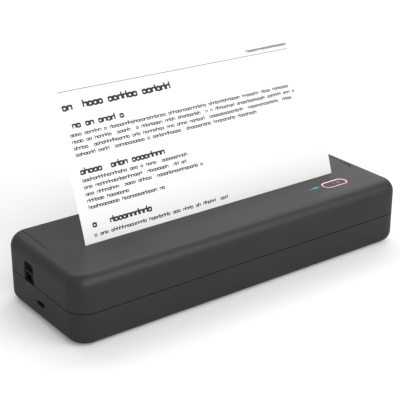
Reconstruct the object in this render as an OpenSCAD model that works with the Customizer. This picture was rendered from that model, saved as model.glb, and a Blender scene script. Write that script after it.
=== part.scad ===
// Portable thermal printer for A4 paper: a rounded clamshell case with a rear cover that hinges
// at the back, a paper roll, a rubber platen on the cover and a line print head in the base.
// Millimetres. X runs along the length, -Y is the front, Z is up, and the floor is at Z = 0.
// The centre of the case's underside is over the origin.

/* [Case] */
// Distance from each edge of the paper to that end of the case
end_room = 31.5; // [30:0.5:40]
// Depth of the case, front to back
body_d = 93; // [92:0.5:100]
// Height of the case without its feet
body_h = 47.4; // [47:0.2:52]
// Height that the rubber feet lift the case
foot_h = 0.8; // [0.4:0.1:2]
// Radius of the upright corners, seen from above
corner_r = 13.5; // [12:0.5:16]
// Radius of the edge round the top
top_r = 9.2; // [8.5:0.1:10.5]
// Radius of the edge round the underside
bottom_r = 7; // [5:0.5:8]
// Thickness of the plastic walls
wall = 2.2; // [1.8:0.1:2.6]
// Height of the parting line above the floor
split_h = 24; // [23:0.5:26]
// Width and depth of the groove along the parting line
groove = 0.5; // [0.3:0.1:0.8]

/* [Cover] */
// Distance from each edge of the paper to that side of the rear cover
cover_margin = 21.5; // [20:0.5:22]
// Width of the seam round the rear cover
seam = 0.4; // [0.3:0.05:0.7]
// Place of the lip in front of the paper slot, behind the front face
lip_from_front = 40.1; // [39.5:0.1:41]
// Size of the cut front corners of the cover
cover_cut = 3; // [1:0.5:5]
// Distance of the hinge axis in from the back face, and the radius of the cover's rolled lower edge
hinge_in = 3.9; // [3.7:0.1:4.2]
// Radius of the hinge pins
hinge_pin_r = 1; // [0.8:0.1:1.2]
// Length of the knuckle at each end of the cover's rolled edge
knuckle_l = 6; // [4:0.5:8]
// Width of the band along the slot that slopes down to it
band_w = 13.5; // [8:0.5:20]
// Drop of that band at the slot
band_drop = 0.6; // [0.3:0.1:0.9]
// Depth of the stiffening rib along each side of the cover
skirt_h = 6.5; // [4:0.5:8]

/* [Paper] */
// Width of the paper
paper_w = 210; // [205:1:211]
// Thickness of the paper
paper_t = 0.2; // [0.15:0.01:0.25]
// Radius of the curl that the printed sheet keeps
sheet_r = 360; // [300:10:420]
// Lean of the sheet from upright where it leaves the slot, in degrees
sheet_lean = 17.2; // [16:0.2:18]
// Length of sheet that stands out of the slot
sheet_out = 111; // [60:1:160]
// Outer radius of the paper roll
roll_r = 15; // [10:0.5:15.5]
// Outer radius of the cardboard core of the roll
core_r = 6; // [5:0.5:7]
// Height of the roll's axis above the floor
roll_z = 20; // [19.5:0.5:21]
// Distance of the roll's axis behind the middle of the case
roll_y = 22; // [21:0.5:23]

/* [Platen] */
// Radius of the rubber platen
platen_r = 5; // [4.6:0.1:5.1]
// Radius of the platen's steel shaft
shaft_r = 2.5; // [2:0.1:3]
// Radius of the bushes that carry the platen
bush_r = 3.4; // [3.3:0.1:3.8]
// Length of sheet between the nip and the slot
nip_to_slot = 12.7; // [12:0.1:13.5]

/* [Print head] */
// Length of the print head past each edge of the paper
head_past = 2; // [0.5:0.5:3]
// Thickness of the ceramic plate
ceramic_t = 1; // [0.8:0.1:1.2]
// Thickness of the aluminium heat sink
sink_t = 4.5; // [4:0.1:5]
// Radius of the rod that the head tilts on
head_rod_r = 1; // [0.8:0.1:1.2]

/* [Gears] */
// Module of all the gear teeth
gear_m = 0.6; // [0.58:0.01:0.61]
// Teeth on the platen gear
platen_teeth = 15; // [14:1:15]
// Teeth on the idler gear
idler_teeth = 24; // [22:1:25]
// Teeth on the small wheel of the reduction gear
small_teeth = 14; // [13:1:15]
// Teeth on the large wheel of the reduction gear
large_teeth = 30; // [28:1:31]
// Teeth on the motor pinion
pinion_teeth = 12; // [12:1:14]
// Width of each gear's teeth
gear_w = 3.4; // [2.5:0.1:4]
// Slack between meshing teeth at the pitch circle
backlash = 0.16; // [0.12:0.01:0.22]

/* [Frame and latch] */
// Thickness of the steel side plates
plate_t = 1.5; // [1.2:0.1:1.8]
// Distance from each edge of the paper to that side plate
plate_room = 8.2; // [8:0.1:9]
// Radius of the latch shaft
latch_r = 2; // [1.6:0.1:2.4]
// Thickness of each latch hook
hook_t = 1.5; // [1:0.1:1.6]
// Travel of the cover release slide
release_travel = 2.5; // [2:0.1:3]

/* [Power button] */
// Place of the button right of the middle
button_x = 93; // [88:0.5:96]
// Distance of the button's middle behind the front face
button_from_front = 24.3; // [23:0.1:25]
// Length of the light ring round the button
ring_l = 22; // [18:0.5:24]
// Width of the light ring across
ring_w = 10; // [8:0.5:10.5]
// Breadth of the ring's bright band
ring_band = 1.2; // [0.8:0.1:1.6]
// Travel of the button
button_travel = 0.8; // [0.4:0.1:1]
// Place of the status light right of the middle
light_x = 76; // [72:0.5:78]
// Length of the status light
light_l = 6.6; // [4:0.2:8]
// Width of the status light across
light_w = 2.3; // [1.5:0.1:3]

/* [Left end] */
// Width of the opening for the release slide
release_w = 11.8; // [10:0.2:13]
// Distance of that opening's top edge below the top of the case
release_drop = 10.6; // [9.6:0.2:12]
// Radius of its upper corners
release_r = 2.8; // [1.5:0.1:3.5]
// Distance of its middle behind the middle of the case
release_y = 12.8; // [12.2:0.1:14]
// Length of the finger rib on the slide
rib_l = 8.4; // [6:0.2:9]
// Thickness of the finger rib
rib_t = 1.1; // [0.8:0.1:1.6]
// Width of the charging socket's slot
usb_w = 9.6; // [9.4:0.1:10]
// Height of the charging socket's slot
usb_h = 3.6; // [3.5:0.1:4]
// Height of the slot's middle above the floor
usb_z = 14; // [13:0.5:15]
// Place of the slot's middle, in front of the middle of the case
usb_y = -1; // [-2:0.5:0]

/* [Battery and boards] */
// Radius of a battery cell
cell_r = 9.2; // [9:0.1:9.4]
// Length of a battery cell
cell_l = 65; // [60:1:70]
// Thickness of the circuit boards
board_t = 1.6; // [1:0.2:2]
// Length of the main board
board_l = 184; // [150:1:188]
// Width of the main board
board_w = 20; // [18:0.5:20.5]

/* [Hidden] */
$fn = 64;

// Small gaps
slack = 0.3;        // between pieces that move past each other
fit = 0.04;         // round a shaft in its hole
nip_gap = 0.15;     // between the paper and the platen or the head
slot_gap = 0.4;     // between the lip and the paper in the slot
eps = 0.01;
far = 400;

// Outline of the case
body_l = paper_w + 2*end_room;
cover_w = paper_w + 2*cover_margin;
front_y = -body_d/2;
back_y = body_d/2;
end_x = body_l/2;
top_z = foot_h + body_h;
floor_z = foot_h + wall;
roof_z = top_z - wall;
lip_y = front_y + lip_from_front;
cover_x = cover_w/2;
cover_front = lip_y + seam;
end_wall_t = 2;

// Cover hinge
hinge_y = back_y - hinge_in;
hinge_z = split_h + slack + hinge_in;
roll_edge_r = hinge_in - 0.05;
pin_in = 4.5;

// Path of the sheet: an arc about a far axis behind the case
slot_y = lip_y + slot_gap + paper_t/2;
arc_y = slot_y + sheet_r*cos(sheet_lean);
arc_z = top_z - sheet_r*sin(sheet_lean);
nip_lean = sheet_lean - nip_to_slot/sheet_r*180/PI;
top_lean = sheet_lean + sheet_out/sheet_r*180/PI;
nip_y = arc_y - sheet_r*cos(nip_lean);
nip_z = arc_z + sheet_r*sin(nip_lean);

// Platen axis, and the way that it leaves the base as the cover opens
platen_off = platen_r + nip_gap + paper_t/2;
platen_y = nip_y + platen_off*cos(nip_lean);
platen_z = nip_z - platen_off*sin(nip_lean);
lift_a = 90 - atan2(platen_z - hinge_z, hinge_y - platen_y);
lift = [cos(lift_a), sin(lift_a)];

// Web of paper from the roll to the nip: the common tangent under the roll and the platen
web_in = platen_r + nip_gap;
web_d = sqrt(pow(platen_y - roll_y, 2) + pow(platen_z - roll_z, 2));
web_dir = atan2(platen_z - roll_z, platen_y - roll_y);
web_a = web_dir + acos((roll_r + slack - web_in)/web_d);

// Gear train, from the platen down and forward to the motor
idler_d = pitch(platen_teeth) + pitch(idler_teeth) + fit;
idler_y = platen_y - idler_d*lift[0];
idler_z = platen_z - idler_d*lift[1];
red_a = 206;
motor_lift = 1.2;
red_d = pitch(idler_teeth) + pitch(small_teeth) + fit;
red_y = idler_y + red_d*cos(red_a);
red_z = idler_z + red_d*sin(red_a);
motor_r = 9.5;
motor_l = 18;
motor_shaft_r = 1;
motor_d = pitch(large_teeth) + pitch(pinion_teeth) + fit;
motor_z = floor_z + motor_lift + motor_r;
motor_a = 180 + asin((red_z - motor_z)/motor_d);
motor_y = red_y + motor_d*cos(motor_a);
stud_r = 1.5;
thin_stud_r = 1.2;
gear_seat_r = 1.5;
plate_x = paper_w/2 + plate_room;
gear_x1 = plate_x + plate_t + 1.9;
gear_x2 = gear_x1 + gear_w + 0.6;
stud_end = gear_x2 + gear_w + 1.4;

// Platen parts along its shaft
sleeve_x = paper_w/2 + 1.5;
arm_x = paper_w/2 + 3.6;
arm_t = 1.8;
bush_x1 = arm_x + arm_t + 0.6;
bush_x2 = plate_x + plate_t + slack;
flange_t = 0.9;

// Print head
head_l = paper_w + 2*head_past;
head_gap = nip_gap + paper_t/2;
sink_y2 = -head_gap - ceramic_t;
sink_y1 = sink_y2 - sink_t;
sink_low = -9;
sink_high = 5.5;
rod_y = sink_y2 - 2.5;
rod_z = -11;
bar_y2 = sink_y1 - 3.2;
bar_t = 1;
bar_low = -8;
bar_high = 4.5;
spring_r = 2.2;
spring_z = -2;
spring_at = [-70, 0, 70];

// Latch: its shaft runs in front of and below the web, and the slide sits in the left end
latch_y = -2;
latch_z = 12;
hub_r = latch_r + 1.6;
hook_x = plate_x - slack - hook_t;
slide_x = -(end_x - wall - slack);
slide_t = 1.5;
slide_y1 = release_y - release_w/2 - 1.8;
slide_y2 = release_y + release_w/2 + 1.8;
release_h = top_z - release_drop - split_h;
slide_z2 = split_h + release_h + release_travel + 0.2;
slide_z1 = split_h + 2.6;
foot_z = 15.5;
foot_w = 4.6;
lever_x = -(end_x - 16.8);
lever_t = 2.4;
lever_tip_r = 1.4;
rib_z = split_h + 6.6;

// Case screws: two at the front and two at the back, in bosses
boss_r = 3.2;
screw_r = 1.2;
screw_head_r = 2.2;
screw_head_h = 1.4;
boss_x = end_x - corner_r - 1;
boss_front_y = front_y + 9.5;
boss_back_y = back_y - 15.5;
ear_h = 3;
screw_at = [for (sx = [-1, 1]) for (y = [boss_front_y, boss_back_y]) [sx*boss_x, y]];

// Feet
pad_l = 16;
pad_w = 7;
pad_seat = 0.5;
foot_in = [30, 14];
foot_at = [for (sx = [-1, 1]) for (sy = [-1, 1]) [sx*(end_x - foot_in[0]), sy*(back_y - foot_in[1])]];

// Battery and boards
tray_t = 1.2;
cell_gap = 1;
cell_y = front_y + bottom_r + tray_t + slack + cell_r;
cell_z = floor_z + tray_t + slack + cell_r;
tray_l = 2*cell_l + 3*cell_gap + 2*tray_t;
tray_w = 2*(cell_r + slack + tray_t);
tray_x = -4;
board_z = cell_z + cell_r + 3.6;
board_x = -12;
board_y = front_y + wall + 0.8 + board_w/2;
post_r = 2;
post_dx = board_l/2 - 6;

// Power button and the status light share a small board under the roof
button_y = front_y + button_from_front;
ring_h = wall + 1.1;
switch_s = 4.4;
button_board_z = roof_z - 8.4;
button_board_x1 = light_x - light_l/2 - 2.5;
button_board_x2 = button_x + 13.5;
button_board_y1 = button_y - 5.8;
button_board_y2 = button_y + switch_s/2 + 0.3;
light_y = button_y + 1.2;
button_post_x = [button_board_x1 + 2, button_board_x2 - 2];
button_post_y = button_board_y1 + 2;

function pitch(teeth) = gear_m*teeth/2;
function polar(r, a) = [r*cos(a), r*sin(a)];

// Angle of a tooth on a wheel that meshes with another: its gap faces the other's tooth
function mesh_phase(phase, dir, teeth, other) = dir + 180 - (phase - dir)*teeth/other + 180/other;

// Half the angle of a tooth at radius r, for flanks of involute form with a 25 degree pressure angle
press_a = 25;
function inv(a) = tan(a)*180/PI - a;
function half_tooth(r, teeth) =
    let (rp = pitch(teeth), rb = rp*cos(press_a), a = acos(min(1, rb/max(r, rb))))
    90/teeth - backlash/4/rp*180/PI + inv(press_a) - inv(a);

platen_phase = 90;
idler_phase = mesh_phase(platen_phase, 180 + lift_a, platen_teeth, idler_teeth);
small_phase = mesh_phase(idler_phase, red_a, idler_teeth, small_teeth);
large_phase = small_phase;
pinion_phase = mesh_phase(large_phase, motor_a, large_teeth, pinion_teeth);

// ---- Building shapes ----

// A flat outline in Y and Z, given thickness along X from x0
module side(x0, t) {
    translate([x0, 0, 0]) rotate([90, 0, 90]) linear_extrude(t) children();
}

// The outline of a block of width w and height h, with its upper and lower edges rounded
module rounded_outline(w, h, rt, rb) {
    translate([-w/2, rb]) square([w, h - rt - rb]);
    translate([-w/2 + rb, 0]) square([w - 2*rb, h - rt]);
    translate([-w/2 + rt, rb]) square([w - 2*rt, h - rb]);
    for (s = [-1, 1]) {
        translate([s*(w/2 - rt), h - rt]) circle(rt);
        translate([s*(w/2 - rb), rb]) circle(rb);
    }
}

// Half of such an outline, on the right of the Z axis, out to rv
module half_outline(rv, h, rt, rb) {
    translate([0, rb]) square([rv, h - rt - rb]);
    square([rv - rb, h - rt]);
    translate([0, rb]) square([rv - rt, h - rb]);
    translate([rv - rt, h - rt]) intersection() {
        circle(rt);
        square(rt);
    }
    translate([rv - rb, rb]) intersection() {
        circle(rb);
        translate([0, -rb]) square(rb);
    }
}

// A block with upright corners of radius rv and rounded upper and lower edges
module rounded_block(l, d, h, rv, rt, rb) {
    union() {
        rotate([90, 0, 90]) linear_extrude(l - 2*rv, center = true) rounded_outline(d, h, rt, rb);
        rotate([90, 0, 0]) linear_extrude(d - 2*rv, center = true) rounded_outline(l, h, rt, rb);
        for (sx = [-1, 1], sy = [-1, 1])
            translate([sx*(l/2 - rv), sy*(d/2 - rv), 0])
                rotate_extrude() half_outline(rv, h, rt, rb);
    }
}

// The case as a solid, drawn in by t on every side
module case_solid(t = 0) {
    translate([0, 0, foot_h + t])
        rounded_block(body_l - 2*t, body_d - 2*t, body_h - 2*t, corner_r - t, top_r - t, bottom_r - t);
}

// A rectangle with round corners, centred, as an outline
module rounded_rect(l, w, r) {
    square([l - 2*r, w], center = true);
    square([l, w - 2*r], center = true);
    for (sx = [-1, 1], sy = [-1, 1]) translate([sx*(l/2 - r), sy*(w/2 - r)]) circle(r);
}

// The plan of the cover, grown by g, with its cut front corners
module cover_plan(g) {
    polygon([
        [-cover_x - g, far], [-cover_x - g, cover_front + cover_cut - g/2],
        [-cover_x + cover_cut - g/2, cover_front - g], [cover_x - cover_cut + g/2, cover_front - g],
        [cover_x + g, cover_front + cover_cut - g/2], [cover_x + g, far],
    ]);
}

// A bar of width w with round ends, from one point to another, as an outline
module link(a, b, w) {
    d = b - a;
    translate(a) rotate(atan2(d[1], d[0])) translate([0, -w/2]) square([norm(d), w]);
    translate(a) circle(w/2);
    translate(b) circle(w/2);
}

// A slot with round ends, centred, as an outline
module pill(l, w) {
    square([l - w, w], center = true);
    for (s = [-1, 1]) translate([s*(l - w)/2, 0]) circle(w/2);
}

// A ring sector between two radii, from angle a1 to a2, as an outline
module sector(r1, r2, a1, a2) {
    intersection() {
        difference() {
            circle(r2);
            circle(r1);
        }
        polygon([[0, 0], polar(2*r2, a1), polar(2*r2, (a1 + a2)/2), polar(2*r2, a2)]);
    }
}

// Things of the print head are drawn upright and then leaned with the sheet at the nip
module at_nip() {
    translate([0, nip_y, nip_z]) rotate([-nip_lean, 0, 0]) children();
}

module gear_outline(teeth, phase) {
    rp = pitch(teeth);
    rb = rp*cos(press_a);
    root = rp - 1.05*gear_m;
    tip = rp + 0.8*gear_m;
    low = max(root + backlash/3, rb);
    radii = [root - backlash, low, (low + rp)/2, rp, (rp + tip)/2, tip];
    circle(root);
    for (i = [0:teeth - 1]) {
        polygon(concat(
            [for (r = radii) polar(r, phase + i*360/teeth - half_tooth(r, teeth))],
            [for (k = [len(radii) - 1:-1:0])
                polar(radii[k], phase + i*360/teeth + half_tooth(radii[k], teeth))]));
    }
}

// A gear without its bore, on an axis at (y, z), from x along X
module gear(x, y, z, teeth, phase) {
    side(x, gear_w) translate([y, z]) gear_outline(teeth, phase);
}

// A round bar along X
module rod(x1, x2, y, z, r) {
    translate([x1, y, z]) rotate([0, 90, 0]) cylinder(h = x2 - x1, r = r);
}

// The same between two distances from the middle, on the side that s gives
module rod_at(s, x1, x2, y, z, r) {
    rod(s > 0 ? x1 : -x2, s > 0 ? x2 : -x1, y, z, r);
}

// ---- Case ----

module boss(p, z1, z2, r) {
    translate([p[0], p[1], z1]) cylinder(h = z2 - z1, r = r);
}

module base_shell() {
    color([0.22, 0.22, 0.22]) difference() {
        union() {
            difference() {
                intersection() {
                    case_solid();
                    translate([-far/2, -far/2, 0]) cube([far, far, split_h]);
                }
                case_solid(wall);
            }
            for (p = screw_at) boss(p, floor_z - eps, split_h, boss_r);
            for (s = [-1, 1]) boss([board_x + s*post_dx, board_y], floor_z - eps, board_z, post_r);
            // Shelf under the charging socket's board, on the left wall
            translate([-end_x + wall - eps, usb_y - 7.6, floor_z - eps])
                cube([11, 1.2, usb_z - usb_h/2 - board_t - floor_z + eps]);
            translate([-end_x + wall - eps, usb_y + 6.4, floor_z - eps])
                cube([11, 1.2, usb_z - usb_h/2 - board_t - floor_z + eps]);
        }
        // Groove along the parting line
        translate([0, 0, split_h - groove]) linear_extrude(groove + 1) difference() {
            square(far, center = true);
            rounded_rect(body_l - 2*groove, body_d - 2*groove, corner_r - groove);
        }
        for (p = screw_at) {
            boss(p, -1, far/4, screw_r + 0.1);
            boss(p, -1, floor_z - wall + screw_head_h + 0.4, screw_head_r + 0.2);
        }
        for (s = [-1, 1])
            boss([board_x + s*post_dx, board_y], board_z - 6, board_z + 1, 0.8);
        for (p = foot_at)
            translate([p[0], p[1], 0]) linear_extrude(foot_h + pad_seat) pill(pad_l, pad_w);
        for (p = frame_screw_at) boss(p, floor_z - 1.7, floor_z + 1, 0.8);
        // Slot for the charging socket
        side(-end_x - 1, wall + 1.2) translate([usb_y, usb_z]) pill(usb_w, usb_h);
    }
}

// Side view of the walls that close the two ends beside the cover
module end_wall_outline() {
    intersection() {
        translate([0, foot_h + wall/2])
            rounded_outline(body_d - 2*wall - 1.8, body_h - wall, top_r - wall/2, bottom_r);
        translate([lip_y - 4, split_h]) square(far);
    }
}

module top_shell() {
    color([0.25, 0.25, 0.25]) difference() {
        union() {
            difference() {
                intersection() {
                    case_solid();
                    translate([-far/2, -far/2, split_h]) cube([far, far, far]);
                }
                case_solid(wall);
                translate([0, 0, split_h - 1]) linear_extrude(far) cover_plan(seam);
            }
            for (s = [-1, 1]) {
                side(s > 0 ? cover_x + seam : -cover_x - seam - end_wall_t, end_wall_t)
                    end_wall_outline();
                // Bosses and ears over the case screws
                boss([s*boss_x, boss_front_y], split_h, roof_z + wall/3, boss_r);
                boss([s*boss_x, boss_back_y], split_h, split_h + ear_h, boss_r);
                translate([s > 0 ? boss_x : -cover_x - seam - 0.5, boss_back_y - boss_r, split_h])
                    cube([cover_x + seam + 0.5 - boss_x, 2*boss_r, ear_h]);
            }
            // Collar round the light ring, and posts for the button board
            translate([button_x, button_y, roof_z - 1]) linear_extrude(1 + wall/3)
                pill(ring_l + 3, ring_w + 3);
            for (x = button_post_x)
                boss([x, button_post_y], button_board_z + board_t, roof_z + wall/3, 1.6);
        }
        // Bevel under the lip in front of the slot
        side(-cover_x - seam, 2*(cover_x + seam))
            polygon([[lip_y, top_z - 0.3], [lip_y - wall - 0.4, roof_z - 0.7], [lip_y + 1, roof_z - 0.7],
                     [lip_y + 1, top_z - 0.3]]);
        for (s = [-1, 1]) rod_at(s, cover_x, cover_x + seam + end_wall_t, hinge_y, hinge_z, hinge_pin_r);
        for (p = screw_at)
            boss(p, split_h - 1, split_h + (p[1] < 0 ? 8 : ear_h + 1), screw_r);
        // Openings for the light ring and the status light
        translate([button_x, button_y, roof_z - 2]) linear_extrude(wall + 3) pill(ring_l, ring_w);
        translate([light_x, light_y, roof_z - 1]) linear_extrude(wall + 3) pill(light_l, light_w);
        // Opening for the release slide in the left end
        side(-end_x - 1, wall + 1 + eps) translate([release_y, split_h]) {
            translate([-release_w/2, -1]) square([release_w, release_h + 1 - release_r]);
            translate([-release_w/2 + release_r, -1]) square([release_w - 2*release_r, release_h + 1]);
            for (s = [-1, 1]) translate([s*(release_w/2 - release_r), release_h - release_r]) circle(release_r);
        }
        for (x = button_post_x)
            boss([x, button_post_y], button_board_z, button_board_z + 5, 0.6);
    }
}

module rubber_feet() {
    color([0.1, 0.1, 0.1]) for (p = foot_at)
        translate([p[0], p[1], 0]) linear_extrude(foot_h + pad_seat) pill(pad_l - 0.1, pad_w - 0.1);
}

module case_screws() {
    color([0.6, 0.6, 0.62]) for (p = screw_at) {
        z0 = floor_z - wall + 0.4;
        difference() {
            union() {
                boss(p, z0, z0 + screw_head_h, screw_head_r);
                boss(p, z0 + screw_head_h - eps, split_h + (p[1] < 0 ? 7 : ear_h - 0.4), screw_r - 0.05);
            }
            for (a = [0, 90])
                translate([p[0], p[1], z0]) rotate(a) cube([2.4, 0.6, 1.2], center = true);
        }
    }
}

// ---- Frame ----

frame_screw_at = [for (sx = [-1, 1]) for (y = [-10, 30]) [sx*(plate_x - 3.4), y]];

plate_front = -24;
plate_back = 36;
plate_step = 8;

module plate_outline(front, front_h) {
    difference() {
        union() {
            translate([front, floor_z]) square([plate_back - front, 6]);
            translate([front, floor_z]) square([-22 - front, front_h]);
            translate([-23, floor_z]) square([25, platen_z + 0.8 - floor_z]);
            translate([roll_y - 6, floor_z]) square([12, roll_z + 0.5 - floor_z]);
        }
        translate([platen_y, platen_z]) circle(bush_r + slack);
        translate([roll_y, roll_z]) circle(stub_r + 0.08);
        translate([latch_y, latch_z]) circle(latch_r + fit);
        translate([nip_y, nip_z]) rotate(-nip_lean) translate([rod_y, rod_z]) circle(head_rod_r + fit);
    }
}

module side_plate(s, front, front_h) {
    x0 = s > 0 ? plate_x : -plate_x - plate_t;
    side(x0, plate_t) plate_outline(front, front_h);
    // Flanges that stand on the floor of the base
    for (y = [-14, 26])
        difference() {
            translate([s > 0 ? plate_x - 6 : -plate_x - eps, y, floor_z]) cube([6 + eps, 8, 1.2]);
            boss([s*(plate_x - 3.4), y + 4], 0, far/4, 1);
        }
}

module side_plate_left() {
    color([0.7, 0.7, 0.72]) side_plate(-1, plate_front, plate_step);
}

module side_plate_right() {
    color([0.7, 0.7, 0.72]) difference() {
        side_plate(1, motor_y - motor_r, motor_z + motor_r - floor_z);
        rod(plate_x - 1, plate_x + plate_t + 1, motor_y, motor_z, pitch(pinion_teeth) + 1.2);
        for (p = [[idler_y, idler_z], [red_y, red_z]])
            rod(plate_x - 1, plate_x + plate_t + 1, p[0], p[1], thin_stud_r);
    }
}

module frame_screws() {
    color([0.6, 0.6, 0.62]) for (p = frame_screw_at) {
        boss(p, floor_z - 1.6, floor_z + 1.2 + eps, 0.75);
        boss(p, floor_z + 1.2, floor_z + 2.2, 1.8);
    }
}

module head_rod() {
    color([0.75, 0.75, 0.77]) at_nip() rod(-plate_x - plate_t, plate_x + plate_t, rod_y, rod_z, head_rod_r);
}

module pressure_bar() {
    color([0.7, 0.7, 0.72]) at_nip()
        translate([-plate_x, bar_y2 - bar_t, bar_low]) cube([2*plate_x, bar_t, bar_high - bar_low]);
}

module head_springs() {
    color([0.8, 0.8, 0.82]) at_nip() for (x = spring_at)
        translate([x, bar_y2, spring_z]) rotate([-90, 0, 0]) difference() {
            cylinder(h = sink_y1 - bar_y2 - 0.02, r = spring_r);
            translate([0, 0, -1]) cylinder(h = 6, r = spring_r - 0.5);
        }
}

module tear_bar() {
    color([0.75, 0.75, 0.77])
        translate([-paper_w/2 - 1, lip_y - 6, roof_z - 0.6]) cube([paper_w + 2, 4.9, 0.6]);
}

module paper_sensor() {
    color([0.08, 0.08, 0.09]) {
        translate([-40, -13.5, floor_z]) cube([9, 6.5, 16]);
        translate([-38, -12, floor_z + 16 - eps]) cube([5, 4, 2.5]);
    }
}

module hinge_pins() {
    color([0.75, 0.75, 0.77]) for (s = [-1, 1])
        rod_at(s, cover_x - pin_in, cover_x + seam + end_wall_t, hinge_y, hinge_z, hinge_pin_r);
}

// ---- Battery, boards and sockets ----

module battery_tray() {
    color([0.15, 0.15, 0.16]) translate([tray_x, cell_y, floor_z]) difference() {
        union() {
            translate([-tray_l/2, -tray_w/2, 0]) cube([tray_l, tray_w, cell_r]);
            for (s = [-1, 1])
                translate([s*(tray_l/2 - tray_t/2), 0, (board_z - floor_z)/2])
                    cube([tray_t, tray_w - 6, board_z - floor_z], center = true);
        }
        translate([-tray_l/2 + tray_t, -tray_w/2 + tray_t, tray_t])
            cube([tray_l - 2*tray_t, tray_w - 2*tray_t, far]);
    }
}

module battery_cells() {
    color([0.2, 0.35, 0.6]) for (s = [-1, 1]) {
        x0 = tray_x + s*(cell_l + cell_gap)/2;
        rod(x0 - cell_l/2, x0 + cell_l/2, cell_y, cell_z, cell_r);
        rod(x0 + cell_l/2 - eps, x0 + cell_l/2 + 0.5, cell_y, cell_z, 3);
    }
}

module main_board() {
    color([0.05, 0.3, 0.15]) difference() {
        translate([board_x - board_l/2, board_y - board_w/2, board_z]) cube([board_l, board_w, board_t]);
        for (s = [-1, 1]) boss([board_x + s*post_dx, board_y], board_z - 1, board_z + board_t + 1, 1.1);
    }
}

chips = [[-70, 2, 12, 9, 1.6], [-48, -3, 7, 7, 1.2], [-25, 1, 16, 12, 2.2], [5, -4, 8, 5, 2.5],
         [22, 3, 6, 6, 3.2], [40, -1, 10, 7, 1.4], [62, 2, 9, 6, 4]];

module board_chips() {
    color([0.1, 0.1, 0.11]) for (c = chips)
        translate([board_x + c[0] - c[2]/2, board_y + c[1] - c[3]/2, board_z + board_t])
            cube([c[2], c[3], c[4]]);
}

module board_screws() {
    color([0.6, 0.6, 0.62]) for (s = [-1, 1]) {
        p = [board_x + s*post_dx, board_y];
        boss(p, board_z - 4, board_z + board_t + eps, 0.75);
        boss(p, board_z + board_t, board_z + board_t + 1, 1.8);
    }
}

module io_board() {
    color([0.05, 0.3, 0.15])
        translate([-end_x + wall + slack, usb_y - 7.5, usb_z - usb_h/2 - board_t])
            cube([10.5, 15, board_t]);
}

module charge_socket() {
    color([0.75, 0.75, 0.77]) {
        side(-end_x + 0.4, 7.4) translate([usb_y, usb_z]) difference() {
            pill(usb_w - 0.6, usb_h - 0.4);
            pill(usb_w - 1.2, usb_h - 1);
        }
        side(-end_x + 7.2, 0.6) translate([usb_y, usb_z]) pill(usb_w - 0.6, usb_h - 0.4);
        translate([-end_x + 1.6, usb_y - 3.2, usb_z - 0.35]) cube([6, 6.4, 0.7]);
        for (s = [-1, 1])
            translate([-end_x + 3.6, usb_y + s*3.2 - 0.5, usb_z - usb_h/2]) cube([2, 1, 0.4]);
    }
}

module button_board() {
    color([0.05, 0.3, 0.15]) difference() {
        translate([button_board_x1, button_board_y1, button_board_z])
            cube([button_board_x2 - button_board_x1, button_board_y2 - button_board_y1, board_t]);
        for (x = button_post_x) boss([x, button_post_y], 0, far/4, 0.6);
    }
}

switch_top = button_board_z + board_t + 3.2;

module power_switch() {
    color([0.7, 0.7, 0.72]) {
        translate([button_x - switch_s/2, button_y - switch_s/2, button_board_z + board_t])
            cube([switch_s, switch_s, switch_top - button_board_z - board_t]);
    }
}

module status_light() {
    color([0.2, 0.6, 0.9]) {
        translate([light_x, light_y, button_board_z + board_t])
            linear_extrude(top_z - button_board_z - board_t) pill(light_l - 0.1, light_w - 0.1);
    }
}

module light_ring() {
    color([1, 0.85, 0.87]) translate([button_x, button_y, top_z - ring_h]) difference() {
        linear_extrude(ring_h + 0.05) pill(ring_l - 0.1, ring_w - 0.1);
        translate([0, 0, -1]) linear_extrude(ring_h + 3) pill(ring_l - 2*ring_band, ring_w - 2*ring_band);
    }
}

module power_button() {
    l = ring_l - 2*ring_band;
    w = ring_w - 2*ring_band;
    z1 = top_z - ring_h - slack;
    color([0.3, 0.28, 0.28]) translate([button_x, button_y, 0]) {
        translate([0, 0, z1 - eps]) linear_extrude(top_z + 0.05 - z1) pill(l - 0.5, w - 0.5);
        translate([0, 0, z1 - 0.7]) linear_extrude(0.7) pill(l + 1, w + 1);
        translate([0, 0, switch_top + button_travel + 0.2])
            cylinder(h = z1 - switch_top - button_travel - 0.3, r = 1.6);
    }
}

// ---- Drive ----

module motor_body() {
    color([0.6, 0.6, 0.62]) difference() {
        union() {
            rod(plate_x - motor_l, plate_x, motor_y, motor_z, motor_r);
            rod(plate_x - motor_l - 1.5, plate_x - motor_l + eps, motor_y, motor_z, 4);
        }
        rod(plate_x - 6, plate_x + 1, motor_y, motor_z, 1.2);
    }
}

// The idler turns on the thin end of its stud, because its neighbour's large wheel passes close by
module gear_studs() {
    color([0.75, 0.75, 0.77]) {
        for (p = [[idler_y, idler_z, gear_x2 - slack], [red_y, red_z, stud_end]])
            rod(plate_x + plate_t, p[2], p[0], p[1], stud_r);
        for (p = [[idler_y, idler_z, stud_end], [red_y, red_z, plate_x + plate_t + eps]])
            rod(plate_x, p[2], p[0], p[1], thin_stud_r);
    }
}

module gear_clips() {
    color([0.55, 0.55, 0.57]) for (p = [[idler_y, idler_z, thin_stud_r], [red_y, red_z, stud_r]])
        side(gear_x2 + gear_w + 0.3, 0.6) translate([p[0], p[1]]) difference() {
            circle(2.6);
            circle(p[2]);
            translate([0, -0.8]) square([4, 1.6]);
        }
}

module platen_gear() {
    color([0.85, 0.85, 0.82]) difference() {
        gear(gear_x2, platen_y, platen_z, platen_teeth, platen_phase);
        rod(gear_x2 - 1, gear_x2 + gear_w + 1, platen_y, platen_z, gear_seat_r);
    }
}

module idler_gear() {
    color([0.85, 0.85, 0.82]) difference() {
        gear(gear_x2, idler_y, idler_z, idler_teeth, idler_phase);
        rod(gear_x2 - 1, gear_x2 + gear_w + 1, idler_y, idler_z, thin_stud_r + fit);
    }
}

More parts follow.
